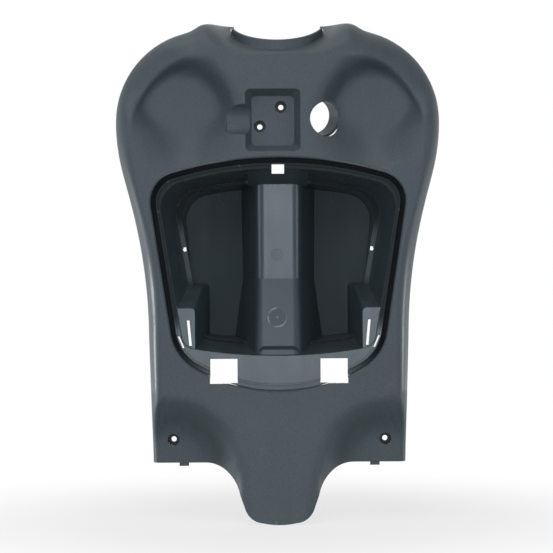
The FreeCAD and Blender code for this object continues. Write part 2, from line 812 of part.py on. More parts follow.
wedge = back_wedge("wedge", "0.0")
wedge_hollow = back_wedge("wedge_hollow", "Sizes.wall")
islands = fused("islands", [
    column, hood, block, mirrored("block_left", block), wedge, mirrored("wedge_left", wedge)])
space = cut("space", tub_space, islands)
hollows = fused("hollows", [
    channel, hood_hollow, block_hollow, mirrored("block_hollow_left", block_hollow),
    wedge_hollow, mirrored("wedge_hollow_left", wedge_hollow)])
tub_shell = cut("tub_shell", tub_form, hollows)

# Hook recess between the dishes, with two screw seats and a finger scoop beside it


def recess_section(name, depth, grow):
    """Rounded rectangle of the recess, grown on all four sides."""
    bend = "Sizes.hook_corner"
    left = f"(Sizes.hook_left - ({grow}))"
    right = f"(Sizes.hook_right + ({grow}))"
    base = f"(Sizes.hook_base - ({grow}))"
    top = f"(Sizes.hook_top + ({grow}))"
    corners = [
        (f"{left} + {bend}", base), (f"{right} - {bend}", base), (right, f"{base} + {bend}"),
        (right, f"{top} - {bend}"), (f"{right} - {bend}", top), (f"{left} + {bend}", top),
        (left, f"{top} - {bend}"), (left, f"{base} + {bend}"),
    ]
    return closed_sketch(name, FRONT, "y", behind(depth), corners, {1: bend, 3: bend, 5: bend, 7: bend})


recess = loft("recess", [
    recess_section("recess_mouth", "-0.2 * Sizes.hook_depth", "0.2 * Sizes.hook_slope"),
    recess_section("recess_floor", "Sizes.hook_depth", "-Sizes.hook_slope"),
])
recess_form = loft("recess_form", [
    recess_section("recess_form_mouth", "0.5 * Sizes.wall", "1.1 * Sizes.wall"),
    recess_section("recess_form_floor", "Sizes.hook_depth + Sizes.wall",
                   "1.1 * Sizes.wall - Sizes.hook_slope"),
])
hook_spots = [
    ("Sizes.hook_screw_x", "Sizes.hook_screw_z"),
    ("Sizes.hook_screw_x_two", "Sizes.hook_screw_z_two"),
]
adds = [recess_form]
cuts = [recess]
for name, (x, z) in zip(("upper", "lower"), hook_spots):
    floor = behind("Sizes.hook_depth")
    adds.append(drill(f"hook_boss_{name}", x, floor, z, "Sizes.screw_seat + 0.8 * Sizes.wall",
                      "Sizes.hook_sink + Sizes.wall"))
    cuts.append(drill(f"hook_seat_{name}", x, behind("0"), z, "Sizes.screw_seat",
                      "Sizes.hook_depth + Sizes.hook_sink"))
    cuts.append(drill(f"hook_hole_{name}", x, behind("0"), z, "Sizes.screw_hole",
                      "Sizes.hook_depth + Sizes.hook_sink + 2 * Sizes.wall"))


def scoop_bar(name, radius, left, right):
    """Bar along X that hollows the finger scoop."""
    solid = doc.addObject("Part::Cylinder", name)
    solid.Placement = FreeCAD.Placement(V(), FreeCAD.Rotation(V(0, 1, 0), 90))
    solid.setExpression("Radius", radius)
    solid.setExpression("Height", f"({right}) - ({left})")
    solid.setExpression("Placement.Base.x", left)
    solid.setExpression("Placement.Base.y", behind("Sizes.scoop_depth - Sizes.scoop_radius"))
    solid.setExpression("Placement.Base.z", "Sizes.scoop_z")
    return solid


scoop = scoop_bar("scoop", "Sizes.scoop_radius", "-Sizes.scoop_reach",
                  "Sizes.hook_left + 0.8 * Sizes.hook_slope")
scoop_form = scoop_bar("scoop_form", "Sizes.scoop_radius + Sizes.wall", "-Sizes.scoop_reach - 4",
                       "Sizes.hook_left + Sizes.hook_slope")
adds.append(common("scoop_wall", scoop_form, core))
cuts.append(scoop)

# Bore for the ignition lock on the flank of the right dish

swing = math.radians(size("key_swing"))
dip = math.radians(size("key_dip"))
key_way = V(-math.sin(swing) * math.cos(dip), math.cos(swing) * math.cos(dip), math.sin(dip))


def key_bar(name, radius, ahead, length):
    """Bar along the lock axis from a point ahead of the mouth."""
    solid = doc.addObject("Part::Cylinder", name)
    solid.Placement = FreeCAD.Placement(V(), FreeCAD.Rotation(V(0, 0, 1), key_way))
    solid.setExpression("Radius", radius)
    solid.setExpression("Height", f"{length} + {ahead}")
    solid.setExpression("Placement.Base.x", f"Sizes.key_x - ({ahead}) * {key_way.x}")
    solid.setExpression("Placement.Base.y", behind(f"Sizes.key_depth - ({ahead}) * {key_way.y}"))
    solid.setExpression("Placement.Base.z", f"Sizes.key_z - ({ahead}) * {key_way.z}")
    return solid


adds.append(key_bar("key_collar", "Sizes.key_bore + 1.2 * Sizes.wall", "0", "Sizes.key_length"))
cuts.append(key_bar("key_well", "Sizes.key_bore", "Sizes.key_bore", "2 * Sizes.key_length"))

# Lower screw seats and bottom tabs

for name, side in (("right", ""), ("left", "-")):
    x = f"{side}Sizes.screw_half_pitch"
    adds.append(drill(f"foot_boss_{name}", x, "0.4 * Sizes.wall - Sizes.screw_sink", "0",
                      "Sizes.screw_seat + 0.8 * Sizes.wall", "Sizes.screw_sink + 0.6 * Sizes.wall"))
    cuts.append(drill(f"foot_seat_{name}", x, "-2 * Sizes.screw_sink", "0", "Sizes.screw_seat",
                      "2 * Sizes.screw_sink"))
    cuts.append(drill(f"foot_hole_{name}", x, "-Sizes.screw_sink", "0", "Sizes.screw_hole",
                      "Sizes.screw_sink + 2 * Sizes.wall"))
    near, far = ("Sizes.tab_inner", "Sizes.tab_outer")
    if side == "-":
        near, far = ("-Sizes.tab_outer", "-Sizes.tab_inner")
    adds.append(box(f"tab_{name}", near, far, "0.2 * Sizes.wall - Sizes.screw_sink",
                    "0.9 * Sizes.wall - Sizes.screw_sink", "Sizes.base_z - Sizes.tab_drop",
                    "Sizes.base_z + Sizes.tab_root"))

# Lip round the front of the steering column

lip_tube = doc.addObject("Part::Cylinder", "lip_tube")
lip_tube.setExpression("Radius", "Sizes.collar_radius + Sizes.wall")
lip_tube.setExpression("Height", "Sizes.collar_height")
lip_tube.setExpression("Placement.Base.y", collar_front)
lip_tube.setExpression("Placement.Base.z", "Sizes.crown_z - Sizes.collar_base")
slope = math.degrees(math.atan2(size("crown_inset"), size("crown_depth")))
lip_band = doc.addObject("Part::Box", "lip_band")
lip_band.Placement = FreeCAD.Placement(V(), FreeCAD.Rotation(V(1, 0, 0), slope))
lip_band.setExpression("Length", "3 * Sizes.collar_radius")
lip_band.setExpression("Width", "Sizes.collar_radius")
lip_band.setExpression("Height", "0.6 * Sizes.wall + Sizes.collar_lip")
lip_band.setExpression("Placement.Base.x", "-1.5 * Sizes.collar_radius")
lip_band.setExpression("Placement.Base.y", behind("0"))
lip_band.setExpression("Placement.Base.z", "Sizes.crown_z - Sizes.crown_inset - 0.8 * Sizes.wall")
adds.append(common("collar_rim", cut("lip_ring", lip_tube, collar_well), lip_band))

# Slots and small holes of the compartment

for name, near, far in (("right", "Sizes.hinge_slot_inner", "Sizes.hinge_slot_outer"),
                        ("left", "-Sizes.hinge_slot_outer", "-Sizes.hinge_slot_inner")):
    cuts.append(box(f"hinge_slot_{name}", near, far, behind("-Sizes.wall"),
                    behind("Sizes.groove_depth + 4 * Sizes.wall"),
                    "Sizes.hinge_slot_base", "Sizes.hinge_slot_top"))
cuts.append(box("latch_slot", "-0.5 * Sizes.latch_width", "0.5 * Sizes.latch_width", behind("0"),
                behind("Sizes.column_top_front"), "Sizes.latch_z - 0.5 * Sizes.latch_height",
                "Sizes.latch_z + 0.5 * Sizes.latch_height"))


def slanted_slit(name, wide, base_x, base, top_x, top):
    """Narrow slanted slot through the front wall of a hinge block."""
    corners = [
        (f"{base_x} - 0.5 * {wide}", base), (f"{base_x} + 0.5 * {wide}", base),
        (f"{top_x} + 0.5 * {wide}", top), (f"{top_x} - 0.5 * {wide}", top),
    ]
    outline = closed_sketch(name + "_outline", FRONT, "y", behind("-Sizes.wall"), corners)
    return prism(name, outline, V(0, 1, 0), "Sizes.groove_depth + 6 * Sizes.wall")


slits = [
    slanted_slit("pin_slit", "Sizes.slit_width", "Sizes.slit_base_x", "Sizes.slit_base",
                 "Sizes.slit_top_x", "Sizes.slit_top"),
    slanted_slit("corner_gap", "Sizes.gap_width", "Sizes.gap_base_x", "Sizes.gap_base",
                 "Sizes.gap_top_x", "Sizes.gap_top"),
]
cuts += slits + [mirrored(slit.Name + "_left", slit) for slit in slits]
for name, side in (("right", ""), ("left", "-")):
    x = f"{side}Sizes.wall_screw_half"
    adds.append(drill(f"wall_boss_{name}", x, behind("Sizes.bend_depth + Sizes.wall"), "Sizes.wall_screw_z",
                      "Sizes.wall_screw_hole + Sizes.wall", "Sizes.wall_screw_boss"))
    cuts.append(drill(f"wall_hole_{name}", x, behind("Sizes.bend_depth - Sizes.wall"), "Sizes.wall_screw_z",
                      "Sizes.wall_screw_hole", "Sizes.wall_screw_boss + 4 * Sizes.wall"))

# One moulding from all of it

blank = fused("blank", [panel, slab, tub_shell] + adds)
grooved = cut("grooved", blank, fused("rim_cuts", [groove, rim_flare]))
lipped = fused("lipped", [grooved, lip])
moulding = cut("moulding", lipped, fused("wells", [lip_well, space] + cuts))
moulding.Label = "glove_box_panel"
doc.recompute()

for item in doc.Objects:
    if "Invalid" in item.State or "Error" in item.State:
        raise RuntimeError(f"{item.Name} did not compute: {item.State}")
    if item.isDerivedFrom("Part::Feature") and (item.Shape.isNull() or not item.Shape.isValid()):
        raise RuntimeError(f"{item.Name} has no valid shape")
print("solids", len(moulding.Shape.Solids))
os.makedirs("parts", exist_ok=True)
moulding.Shape.exportStep("parts/glove_box_panel.step")
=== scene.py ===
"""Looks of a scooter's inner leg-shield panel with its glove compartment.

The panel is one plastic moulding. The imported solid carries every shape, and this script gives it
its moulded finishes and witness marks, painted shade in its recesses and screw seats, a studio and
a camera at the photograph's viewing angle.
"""
import logging
import math
from dataclasses import dataclass
from enum import Enum
from typing import ClassVar

import bpy
from mathutils import Matrix, Vector

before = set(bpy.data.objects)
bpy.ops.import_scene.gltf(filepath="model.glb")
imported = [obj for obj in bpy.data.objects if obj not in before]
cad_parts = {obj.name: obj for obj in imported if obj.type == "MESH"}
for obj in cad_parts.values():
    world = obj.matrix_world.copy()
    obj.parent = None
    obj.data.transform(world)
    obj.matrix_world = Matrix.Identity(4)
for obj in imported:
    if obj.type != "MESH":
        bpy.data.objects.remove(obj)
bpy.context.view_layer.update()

logging.basicConfig(level=logging.INFO, format="%(message)s")
LOG = logging.getLogger("glove_box_panel")

Colour = tuple[float, float, float]
Point = tuple[float, float, float]
Span = tuple[float, float]
Socket = bpy.types.NodeSocket
NODE = "glove_box_panel"
RIM_PLANE = -0.040


class Zone(Enum):
    """Zones of the moulding; the compartment, pocket and groove zones paint shade over their
    texture.
    """

    SHOW_FACE = "show_face"
    COMPARTMENT = "compartment"
    POCKET_SHADE = "pocket"
    GROOVE_SHADE = "groove"
    BACK = "back"


class MarkKind(Enum):
    """What a round mark looks like; the seat kinds are painted shadows in the screw seats, the rest
    witness marks of the mould.
    """

    GATE = "gate"
    SPRUE = "sprue"
    SINK = "sink"
    EJECTOR = "ejector"
    NIB = "nib"
    PINHOLE = "pinhole"
    CHIP = "chip"
    HOOK_SEAT_SHADOW = "hook_seat_shadow"
    FOOT_SEAT_SHADOW = "foot_seat_shadow"


@dataclass(frozen=True)
class PlasticFinish:
    """Finish of one zone of the moulding; in the darker zones its colour is partly painted shade.

    Attributes:
        colour: Linear base colour.
        mottle: Share by which the colour varies over the surface.
        roughness: Mean roughness.
        spread: How far the roughness varies.
        grain_pitch: Size of one grain in metres.
        grain_depth: Height of the grain in metres.
        scuff: Strength of the fine scratches.
    """

    colour: Colour
    mottle: float
    roughness: float
    spread: float
    grain_pitch: float
    grain_depth: float
    scuff: float


@dataclass(frozen=True)
class RoundMark:
    """One round witness mark, or for the seat kinds a painted shadow in a screw seat.

    Attributes:
        kind: What it looks like.
        x: Across, in metres.
        z: Up, in metres.
        radius: Radius in metres.
    """

    kind: MarkKind
    x: float
    z: float
    radius: float


@dataclass(frozen=True)
class MarkLook:
    """How a kind of mark changes the plastic.

    Attributes:
        disc: Tone of its middle, above 1 paler and below 1 darker.
        ring: Tone of its edge.
        relief: Height of its edge in metres.
        near: Nearest place along the depth where it shows, in metres.
        far: Farthest place along the depth where it shows.
    """

    disc: float
    ring: float
    relief: float
    near: float
    far: float


FINISHES: dict[Zone, PlasticFinish] = {
    Zone.SHOW_FACE: PlasticFinish((0.036, 0.048, 0.056), 0.12, 0.52, 0.08, 0.0015, 0.00010, 0.05),
    # The compartment's darker colour is painted shade inside the opening; its lower roughness is
    # its own finish.
    Zone.COMPARTMENT: PlasticFinish((0.027, 0.037, 0.044), 0.10, 0.31, 0.05, 0.0010, 0.00004, 0.12),
    # The pocket zone is painted shade: a near-black colour on the deep pocket backs, with a rougher
    # finish.
    Zone.POCKET_SHADE: PlasticFinish((0.010, 0.016, 0.020), 0.16, 0.66, 0.08, 0.0010, 0.00003, 0.12),
    # The groove zone is painted shade: a near-black colour for the groove, the lip, the ledge and
    # the step.
    Zone.GROOVE_SHADE: PlasticFinish((0.004, 0.005, 0.006), 0.30, 0.86, 0.08, 0.0012, 0.00004, 0.0),
    Zone.BACK: PlasticFinish((0.032, 0.042, 0.049), 0.16, 0.47, 0.08, 0.0016, 0.00003, 0.16),
}

INNER_DEPTH: Span = (-0.012, 0.070)
LIP_DEPTH: Span = (-0.046, -0.026)

MARK_LOOKS: dict[MarkKind, MarkLook] = {
    MarkKind.GATE: MarkLook(0.55, 6.00, 0.0004, *INNER_DEPTH),
    MarkKind.SPRUE: MarkLook(6.00, 3.00, 0.0004, *INNER_DEPTH),
    MarkKind.SINK: MarkLook(0.55, 0.80, 0.0001, *INNER_DEPTH),
    MarkKind.EJECTOR: MarkLook(0.80, 3.00, 0.0003, *INNER_DEPTH),
    MarkKind.NIB: MarkLook(4.50, 2.00, 0.0003, *LIP_DEPTH),
    MarkKind.PINHOLE: MarkLook(0.15, 0.60, -0.0003, *LIP_DEPTH),
    MarkKind.CHIP: MarkLook(1.90, 1.40, -0.0003, -0.090, -0.050),
    # The seat kinds paint shadow into the counterbores of the screw seats.
    MarkKind.HOOK_SEAT_SHADOW: MarkLook(0.10, 0.10, 0.0, -0.0235, -0.0150),
    MarkKind.FOOT_SEAT_SHADOW: MarkLook(0.10, 0.10, 0.0, -0.0085, 0.0030),
}

MARKS: tuple[RoundMark, ...] = (
    RoundMark(MarkKind.GATE, -0.0016, 0.1477, 0.0120),
    RoundMark(MarkKind.SPRUE, -0.0016, 0.1477, 0.0013),
    RoundMark(MarkKind.SINK, -0.0014, 0.2238, 0.0084),
    RoundMark(MarkKind.EJECTOR, -0.0664, 0.2980, 0.0084),
    RoundMark(MarkKind.EJECTOR, 0.0640, 0.2980, 0.0084),
    RoundMark(MarkKind.NIB, -0.0465, 0.3306, 0.0017),
    RoundMark(MarkKind.NIB, -0.1000, 0.3240, 0.0017),
    RoundMark(MarkKind.NIB, -0.1323, 0.3120, 0.0017),
    RoundMark(MarkKind.NIB, -0.1443, 0.2760, 0.0017),
    RoundMark(MarkKind.NIB, 0.0501, 0.3324, 0.0017),
    RoundMark(MarkKind.NIB, 0.1010, 0.3264, 0.0017),
    RoundMark(MarkKind.NIB, 0.1333, 0.3156, 0.0017),
    RoundMark(MarkKind.NIB, 0.1462, 0.2772, 0.0017),
    RoundMark(MarkKind.PINHOLE, 0.0771, 0.3280, 0.0010),
    RoundMark(MarkKind.CHIP, -0.0042, -0.0940, 0.0026),
    # Painted shadows in the counterbores of the screw seats.
    RoundMark(MarkKind.HOOK_SEAT_SHADOW, 0.0040, 0.4020, 0.0078),
    RoundMark(MarkKind.HOOK_SEAT_SHADOW, -0.0215, 0.3785, 0.0078),
    RoundMark(MarkKind.FOOT_SEAT_SHADOW, 0.1285, 0.0, 0.0078),
    RoundMark(MarkKind.FOOT_SEAT_SHADOW, -0.1285, 0.0, 0.0078),
)


class Tree:
    """Small helper that adds and joins shader nodes."""

    ROW_LENGTH: ClassVar[int] = 12
    STEP: ClassVar[tuple[int, int]] = (200, -260)
    # The Mix node repeats its socket names for each type of data, so they are taken by number.
    VALUE_SLOTS: ClassVar[tuple[int, int, int]] = (0, 2, 3)
    COLOUR_SLOTS: ClassVar[tuple[int, int, int]] = (0, 6, 7)
    COLOUR_OUT: ClassVar[int] = 2

    def __init__(self, tree: bpy.types.NodeTree) -> None:
        """Keeps the tree and starts a row for its nodes."""
        self.tree = tree
        self.column = 0

    def add(self, kind: str, **values: object) -> bpy.types.Node:
        """Adds a node and sets its properties.

        Args:
            kind: Blender's node type.
            **values: Properties of the node, set by name.

        Returns:
            The new node.
        """
        node = self.tree.nodes.new(kind)
        row, along = divmod(self.column, self.ROW_LENGTH)
        node.location = (self.STEP[0] * along, self.STEP[1] * row)
        self.column += 1
        for name, value in values.items():
            setattr(node, name, value)
        return node

    def join(self, source: Socket, target: Socket) -> None:
        """Links an output to an input."""
        self.tree.links.new(source, target)

    def feed(self, target: Socket, value: object) -> None:
        """Links a socket to an input, or writes a plain value into it."""
        if isinstance(value, bpy.types.NodeSocket):
            self.join(value, target)
        elif value is not None:
            target.default_value = value

    def math(self, operation: str, *terms: object) -> Socket:
        """Adds a Math node.

        Args:
            operation: Blender's name of the operation.
            *terms: Its inputs in order, each a socket or a number.

        Returns:
            The node's output.
        """
        node = self.add("ShaderNodeMath", operation=operation)
        for slot, value in zip(node.inputs, terms):
            self.feed(slot, value)
        return node.outputs[0]

    def product(self, first: Socket, *others: object) -> Socket:
        """Multiplies values one after another.

        Args:
            first: The first value.
            *others: The others, each a socket or a number.

        Returns:
            Their product.
        """
        for other in others:
            first = self.math("MULTIPLY", first, other)
        return first

    def normal(self) -> bpy.types.Node:
        """Takes the surface normal apart into its three coordinates."""
        shape = self.add("ShaderNodeNewGeometry")
        parts = self.add("ShaderNodeSeparateXYZ")
        self.join(shape.outputs["Normal"], parts.inputs[0])
        return parts

    def seen(self) -> Socket:
        """Masks the rays that show a surface straight, mirrored or through glass."""
        path = self.add("ShaderNodeLightPath")
        rays = self.math("MAXIMUM", path.outputs["Is Camera Ray"], path.outputs["Is Glossy Ray"])
        return self.math("MAXIMUM", rays, path.outputs["Is Transmission Ray"])

    def vector(self, operation: str, *terms: object) -> bpy.types.Node:
        """Adds a Vector Math node.

        Args:
            operation: Blender's name of the operation.
            *terms: Its inputs in order, each a socket or a triple.

        Returns:
            The node, whose outputs differ by operation.
        """
        node = self.add("ShaderNodeVectorMath", operation=operation)
        for slot, value in zip(node.inputs, terms):
            self.feed(slot, value)
        return node

    def ramp(self, value: Socket, low: object, high: object) -> Socket:
        """Maps a value smoothly to 0 at low and 1 at high.

        Args:
            value: The value to map.
            low: Where the result is 0, a socket or a number.
            high: Where the result is 1, a socket or a number.

        Returns:
            The mapped value.
        """
        node = self.add("ShaderNodeMapRange", interpolation_type="SMOOTHSTEP")
        self.join(value, node.inputs["Value"])
        self.feed(node.inputs["From Min"], low)
        self.feed(node.inputs["From Max"], high)
        return node.outputs["Result"]

    def noise(self, vector: Socket, scale: object, detail: float) -> Socket:
        """Adds a noise texture.

        Args:
            vector: Where it is read.
            scale: Its scale, a socket or a number.
            detail: Number of octaves.

        Returns:
            The noise value.
        """
        node = self.add("ShaderNodeTexNoise")
        self.join(vector, node.inputs["Vector"])
        self.feed(node.inputs["Scale"], scale)
        node.inputs["Detail"].default_value = detail
        return node.outputs["Fac"]

    def mix(self, share: object, first: object, second: object) -> Socket:
        """Blends two values by a share."""
        node = self.add("ShaderNodeMix", data_type="FLOAT")
        for slot, value in zip(self.VALUE_SLOTS, (share, first, second)):
            self.feed(node.inputs[slot], value)
        return node.outputs[0]

    def blend(self, share: object, first: object, second: object) -> Socket:
        """Blends two colours by a share."""
        node = self.add("ShaderNodeMix", data_type="RGBA")
        for slot, value in zip(self.COLOUR_SLOTS, (share, first, second)):
            self.feed(node.inputs[slot], value)
        return node.outputs[self.COLOUR_OUT]

    def tint(self, colour: Socket, tone: Socket) -> Socket:
        """Multiplies a colour by a tone."""
        node = self.vector("SCALE", colour)
        self.join(tone, node.inputs["Scale"])
        return node.outputs[0]

    def place(self, group: bpy.types.NodeTree, **inputs: object) -> bpy.types.Node:
        """Places a group with its own values.

        Args:
            group: The node group.
            **inputs: Sockets or values for its inputs, by name.

        Returns:
            The group's node.
        """
        node = self.add("ShaderNodeGroup", node_tree=group)
        for name, value in inputs.items():
            self.feed(node.inputs[name], value)
        return node


class Effects:
    """Node groups that the zones of the moulding share."""

    # A span gives the values at which a mask is 0 and 1. Patches are noise scales.
    BEVEL_SAMPLES: ClassVar[int] = 3
    SPECKLE_SHARE: ClassVar[float] = 0.6
    GRAIN_TONE: ClassVar[Span] = (0.35, 1.05)
    STREAK_SCALE: ClassVar[float] = 6.0
    STREAK_SHARE: ClassVar[float] = 0.4
    FLOW_TONE: ClassVar[Span] = (0.30, 0.70)
    SCUFF_PATCHES: ClassVar[float] = 7.0
    SCUFF_WHERE: ClassVar[Span] = (0.50, 0.68)
    SCUFF_TURNS: ClassVar[tuple[Point, ...]] = ((0.5, 0.9, 0.35), (-0.7, 0.3, -1.0))
    SCUFF_STRETCH: ClassVar[Point] = (1.0, 7.0, 0.25)
    SCUFF_LINE: ClassVar[Span] = (0.007, 0.001)
    RUB_TURN: ClassVar[Span] = (0.985, 0.80)
    RUB_PATCHES: ClassVar[float] = 60.0
    RUB_WHERE: ClassVar[Span] = (0.30, 0.62)
    DUST_SLOPE: ClassVar[Span] = (0.15, 0.9)
    DUST_WHERE: ClassVar[Span] = (0.35, 0.75)
    DISC_EDGE: ClassVar[Span] = (1.0, 0.86)
    RING_MIDDLE: ClassVar[float] = 0.93
    RING_WIDTH: ClassVar[Span] = (0.10, 0.03)
    RING_PATCHES: ClassVar[float] = 90.0
    RING_WHERE: ClassVar[Span] = (0.35, 0.60)

    def __init__(self) -> None:
        """Builds each group once."""
        self.grain = self._grain()
        self.flow = self._flow()
        self.scuffs = self._scuffs()
        self.rub = self._rub()
        self.dust = self._dust()
        self.mark = self._mark()

    @staticmethod
    def _group(name: str, inputs: dict[str, tuple[str, object]], outputs: dict[str, str]
               ) -> tuple[Tree, bpy.types.Node, bpy.types.Node]:
        """Starts a group with named sockets.

        Args:
            name: Name of the group.
            inputs: Socket type and default for each input.
            outputs: Socket type for each output.

        Returns:
            The group's helper, and its input and output nodes.
        """
        group = bpy.data.node_groups.new(name, "ShaderNodeTree")
        for label, (kind, default) in inputs.items():
            socket = group.interface.new_socket(label, in_out="INPUT", socket_type=kind)
            if default is not None:
                socket.default_value = default
        for label, kind in outputs.items():
            group.interface.new_socket(label, in_out="OUTPUT", socket_type=kind)
        tree = Tree(group)
        return tree, tree.add("NodeGroupInput"), tree.add("NodeGroupOutput")

    def _grain(self) -> bpy.types.NodeTree:
        """Builds the moulded grain: small pebbles with finer noise.

        Returns:
            A group with a Height and a Tone output.
        """
        tree, entry, leave = self._group(
            "MouldGrain",
            {"Vector": ("NodeSocketVector", None), "Pitch": ("NodeSocketFloat", 0.001)},
            {"Height": "NodeSocketFloat", "Tone": "NodeSocketFloat"})
        scale = tree.math("DIVIDE", 1.0, entry.outputs["Pitch"])
        pebbles = tree.add("ShaderNodeTexVoronoi", feature="SMOOTH_F1")
        tree.join(entry.outputs["Vector"], pebbles.inputs["Vector"])
        tree.join(scale, pebbles.inputs["Scale"])
        speckle = tree.noise(entry.outputs["Vector"], scale, detail=3.0)
        pebble = pebbles.outputs["Distance"]
        height = tree.math("MULTIPLY_ADD", speckle, self.SPECKLE_SHARE, pebble)
        tree.join(height, leave.inputs["Height"])
        tree.join(tree.ramp(height, *self.GRAIN_TONE), leave.inputs["Tone"])
        return tree.tree

    def _flow(self) -> bpy.types.NodeTree:
        """Builds the cloudy tone that the melt leaves as it fills the mould.

        Returns:
            A group with a Tone output.
        """
        tree, entry, leave = self._group(
            "MeltFlow",
            {"Vector": ("NodeSocketVector", None), "Scale": ("NodeSocketFloat", 9.0),
             "Stretch": ("NodeSocketFloat", 0.3)},
            {"Tone": "NodeSocketFloat"})
        clouds = tree.noise(entry.outputs["Vector"], entry.outputs["Scale"], detail=5.0)
        shape = tree.add("ShaderNodeCombineXYZ")
        shape.inputs["X"].default_value = 1.0
        shape.inputs["Y"].default_value = 1.0
        tree.join(entry.outputs["Stretch"], shape.inputs["Z"])
        drawn = tree.vector("MULTIPLY", entry.outputs["Vector"], shape.outputs[0]).outputs[0]
        finer = tree.math("MULTIPLY", entry.outputs["Scale"], self.STREAK_SCALE)
        streaks = tree.noise(drawn, finer, detail=2.0)
        cloudy = tree.math("MULTIPLY", clouds, 1.0 - self.STREAK_SHARE)
        tone = tree.math("MULTIPLY_ADD", streaks, self.STREAK_SHARE, cloudy)
        tree.join(tree.ramp(tone, *self.FLOW_TONE), leave.inputs["Tone"])
        return tree.tree

    def _scuffs(self) -> bpy.types.NodeTree:
        """Builds fine scratches from handling, in two directions.

        Returns:
            A group with a Mask output.
        """
        tree, entry, leave = self._group(
            "HandlingScuffs",
            {"Vector": ("NodeSocketVector", None), "Scale": ("NodeSocketFloat", 14.0)},
            {"Mask": "NodeSocketFloat"})
        patches = tree.noise(entry.outputs["Vector"], self.SCUFF_PATCHES, detail=2.0)
        where = tree.ramp(patches, *self.SCUFF_WHERE)
        total: Socket | None = None
        for turn in self.SCUFF_TURNS:
            spin = tree.add("ShaderNodeMapping")
            tree.join(entry.outputs["Vector"], spin.inputs["Vector"])
            spin.inputs["Rotation"].default_value = turn
            spin.inputs["Scale"].default_value = self.SCUFF_STRETCH
            lines = tree.noise(spin.outputs[0], entry.outputs["Scale"], detail=2.0)
            off = tree.math("ABSOLUTE", tree.math("SUBTRACT", lines, 0.5))
            thin = tree.ramp(off, *self.SCUFF_LINE)
            total = thin if total is None else tree.math("MAXIMUM", total, thin)
        tree.join(tree.math("MULTIPLY", total, where), leave.inputs["Mask"])
        return tree.tree

    def _rub(self) -> bpy.types.NodeTree:
        """Builds the rounding of edges and the mask of where they are rubbed.

        Returns:
            A group with a Mask and a Normal output.
        """
        tree, entry, leave = self._group(
            "EdgeRub",
            {"Vector": ("NodeSocketVector", None), "Radius": ("NodeSocketFloat", 0.001)},
            {"Mask": "NodeSocketFloat", "Normal": "NodeSocketVector"})
        bevel = tree.add("ShaderNodeBevel", samples=self.BEVEL_SAMPLES)
        tree.join(entry.outputs["Radius"], bevel.inputs["Radius"])
        shape = tree.add("ShaderNodeNewGeometry")
        turned = tree.vector("DOT_PRODUCT", bevel.outputs["Normal"], shape.outputs["Normal"])
        edge = tree.ramp(turned.outputs["Value"], *self.RUB_TURN)
        patches = tree.noise(entry.outputs["Vector"], self.RUB_PATCHES, detail=4.0)
        broken = tree.ramp(patches, *self.RUB_WHERE)
        tree.join(tree.math("MULTIPLY", edge, broken), leave.inputs["Mask"])
        tree.join(bevel.outputs["Normal"], leave.inputs["Normal"])
        return tree.tree

    def _dust(self) -> bpy.types.NodeTree:
        """Builds the film of dust on surfaces that face up.

        Returns:
            A group with a Mask output.
        """
        tree, entry, leave = self._group(
            "SettledDust",
            {"Vector": ("NodeSocketVector", None), "Scale": ("NodeSocketFloat", 40.0)},
            {"Mask": "NodeSocketFloat"})
        level = tree.ramp(tree.normal().outputs["Z"], *self.DUST_SLOPE)
        patches = tree.noise(entry.outputs["Vector"], entry.outputs["Scale"], detail=6.0)
        mask = tree.product(level, tree.ramp(patches, *self.DUST_WHERE))
        tree.join(mask, leave.inputs["Mask"])
        return tree.tree

    def _mark(self) -> bpy.types.NodeTree:
        """Builds a round mark as seen from the front, for witness marks and for painted seat
        shadows.

        Returns:
            A group with a Disc and a Ring output.
        """
        tree, entry, leave = self._group(
            "RoundWitnessAndSeatShadow",
            {"Vector": ("NodeSocketVector", None), "Centre": ("NodeSocketVector", None),
             "Radius": ("NodeSocketFloat", 0.008)},
            {"Disc": "NodeSocketFloat", "Ring": "NodeSocketFloat"})
        away = tree.vector("SUBTRACT", entry.outputs["Vector"], entry.outputs["Centre"]).outputs[0]
        flat = tree.vector("MULTIPLY", away, (1.0, 0.0, 1.0)).outputs[0]
        reach = tree.vector("LENGTH", flat).outputs["Value"]
        share = tree.math("DIVIDE", reach, entry.outputs["Radius"])
        tree.join(tree.ramp(share, *self.DISC_EDGE), leave.inputs["Disc"])
        rim = tree.math("ABSOLUTE", tree.math("SUBTRACT", share, self.RING_MIDDLE))
        patches = tree.noise(entry.outputs["Vector"], self.RING_PATCHES, detail=2.0)
        wear_and_glint = tree.ramp(patches, *self.RING_WHERE)
        tree.join(tree.product(tree.ramp(rim, *self.RING_WIDTH), wear_and_glint), leave.inputs["Ring"])
        return tree.tree


